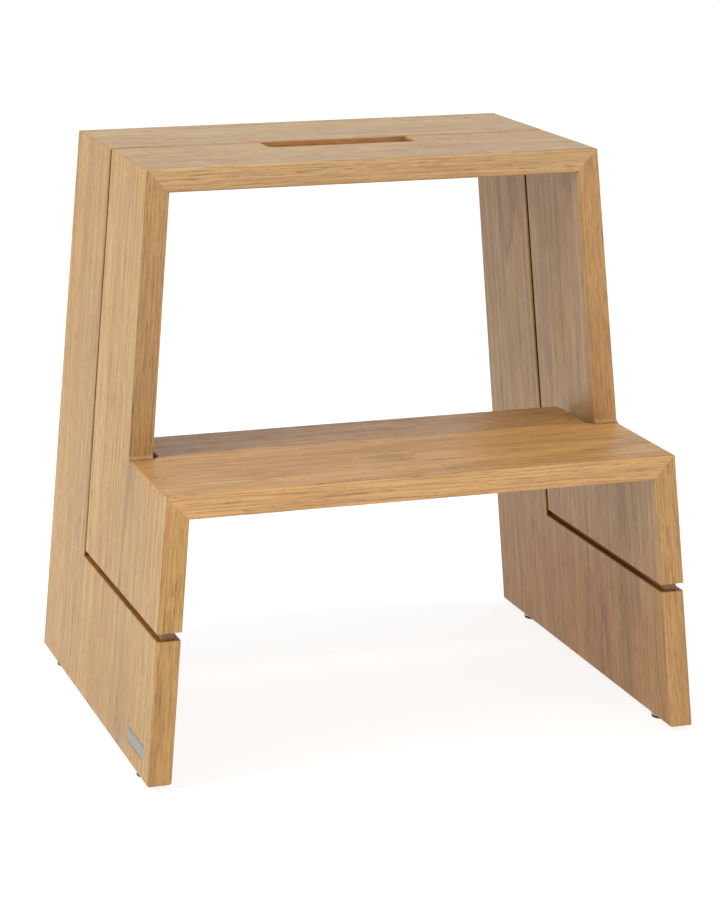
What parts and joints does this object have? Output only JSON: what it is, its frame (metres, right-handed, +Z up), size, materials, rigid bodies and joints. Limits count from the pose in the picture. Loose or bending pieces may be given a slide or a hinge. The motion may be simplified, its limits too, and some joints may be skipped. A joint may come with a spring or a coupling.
{
  "type": "step stool",
  "caption": "Fixed two-step stool of mitred oak boards, with splayed sides, a shadow gap round each side and across the top tread, and a hand slot.",
  "frame": {"origin": "middle of the footprint, on the floor under the glides", "axes": "+Z up; +X to the right of a person who faces the steps; +Y towards the back of the stool, away from the step"},
  "size_m": [0.446, 0.3676, 0.45],
  "materials": {
    "oak_tread": "oiled oak, grain along the tread",
    "oak_side": "oiled oak, grain up the panel",
    "oak_step": "oiled oak, grain along the step",
    "oak_tongue": "oiled oak in the shadow gap",
    "beech_spline": "plain beech",
    "glide_plastic": "black, fine texture",
    "glide_steel": "zinc-plated steel",
    "plate_steel": "brushed steel, blank",
    "pad_foam": "thin adhesive foam"
  },
  "bodies": {
    "root": {"top_rear_board": "oak_tread", "top_front_board": "oak_tread", "step_board": "oak_step", "maker_plate": "plate_steel", "plate_pad": "pad_foam", "left_rear_panel": "oak_side", "left_front_panel": "oak_side", "top_tongue_left": "oak_tongue", "left_upright_tongue": "oak_tongue", "left_foot_tongue": "oak_tongue", "top_rear_spline_left": "beech_spline", "top_front_spline_left": "beech_spline", "step_spline_left": "beech_spline", "left_front_glide_base": "glide_plastic", "left_front_glide_disc": "glide_steel", "left_front_glide_nail": "glide_steel", "left_rear_glide_base": "glide_plastic", "left_rear_glide_disc": "glide_steel", "left_rear_glide_nail": "glide_steel", "right_rear_panel": "oak_side", "right_front_panel": "oak_side", "top_tongue_right": "oak_tongue", "right_upright_tongue": "oak_tongue", "right_foot_tongue": "oak_tongue", "top_rear_spline_right": "beech_spline", "top_front_spline_right": "beech_spline", "step_spline_right": "beech_spline", "right_front_glide_base": "glide_plastic", "right_front_glide_disc": "glide_steel", "right_front_glide_nail": "glide_steel", "right_rear_glide_base": "glide_plastic", "right_rear_glide_disc": "glide_steel", "right_rear_glide_nail": "glide_steel"}
  },
  "joints": []
}
